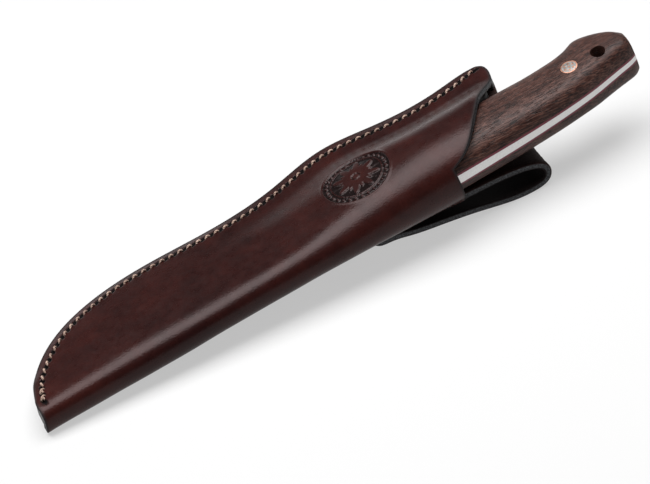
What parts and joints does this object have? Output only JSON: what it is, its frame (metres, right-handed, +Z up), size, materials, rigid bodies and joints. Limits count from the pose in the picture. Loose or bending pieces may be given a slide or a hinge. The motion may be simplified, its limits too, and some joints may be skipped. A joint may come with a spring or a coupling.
{
  "type": "sheathed knife",
  "caption": "Fixed-blade full-tang knife with wooden grip scales, drawn lengthwise from a moulded, seam-stitched leather pouch sheath with a belt loop.",
  "frame": {"origin": "centre of the bounding box at its base, the surface the sheathed knife lies on", "axes": "+X along the knife towards the butt (the knife itself rises 5.89 degrees towards +X, resting on the sheath tip and the belt loop), +Y from the folded spine side to the stitched seam, +Z up, out of the sheath's front face"},
  "size_m": [0.244, 0.0544, 0.0387],
  "materials": {
    "steel": "satin",
    "liner": "matte",
    "wood": "satin",
    "copper": "satin",
    "pin_core": "satin",
    "leather": "semi-gloss",
    "leather_edge": "burnished",
    "thread": "waxed"
  },
  "bodies": {
    "sheath": {"sheath_leather": "leather", "welt": "leather_edge", "seam_thread_a": "thread", "seam_thread_b": "thread", "loop_thread": "thread"},
    "knife": {"blade": "steel", "liner_front": "liner", "liner_back": "liner", "scale_front": "wood", "scale_back": "wood", "pin_front_tube": "copper", "pin_front_core": "pin_core", "pin_front_rods": "copper", "pin_rear_tube": "copper", "pin_rear_core": "pin_core", "pin_rear_rods": "copper"}
  },
  "joints": [
    {"name": "knife_draw", "type": "slide", "parent": "sheath", "child": "knife", "axis": [0.9947, 0, 0.1027], "range_m": [0, 0.2]}
  ]
}
